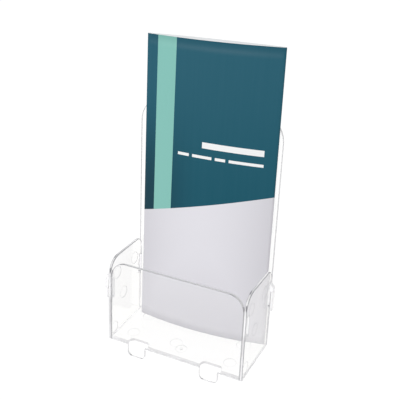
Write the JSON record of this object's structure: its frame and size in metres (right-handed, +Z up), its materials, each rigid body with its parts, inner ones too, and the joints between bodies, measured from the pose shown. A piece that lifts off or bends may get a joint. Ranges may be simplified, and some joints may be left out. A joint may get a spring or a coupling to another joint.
{
  "type": "leaflet holder",
  "caption": "Clear pocket holder with a tall leaning back, low rounded front, side clips and two front tongues, holding one folded leaflet upright.",
  "frame": {"origin": "middle of the base panel's underside, which rests on a stand, a shelf edge or the step of the holder in front", "axes": "+X to the holder's right as seen from its front, +Y to the back, +Z up; the front panel faces -Y"},
  "size_m": [0.1145, 0.0695, 0.2207],
  "materials": {
    "clear_plastic": "polished, colourless and clear, as moulded styrene",
    "printed_paper": "satin coated paper with a plain three-colour print"
  },
  "bodies": {
    "holder": {"front_panel": "clear_plastic", "back_panel": "clear_plastic", "base_panel": "clear_plastic", "left_side_panel": "clear_plastic", "right_side_panel": "clear_plastic"},
    "leaflet": {"leaflet": "printed_paper"}
  },
  "joints": [
    {"name": "leaflet_lift", "type": "slide", "parent": "holder", "child": "leaflet", "axis": [0, 0.1288, 0.9917], "range_m": [0, 0.18]}
  ]
}
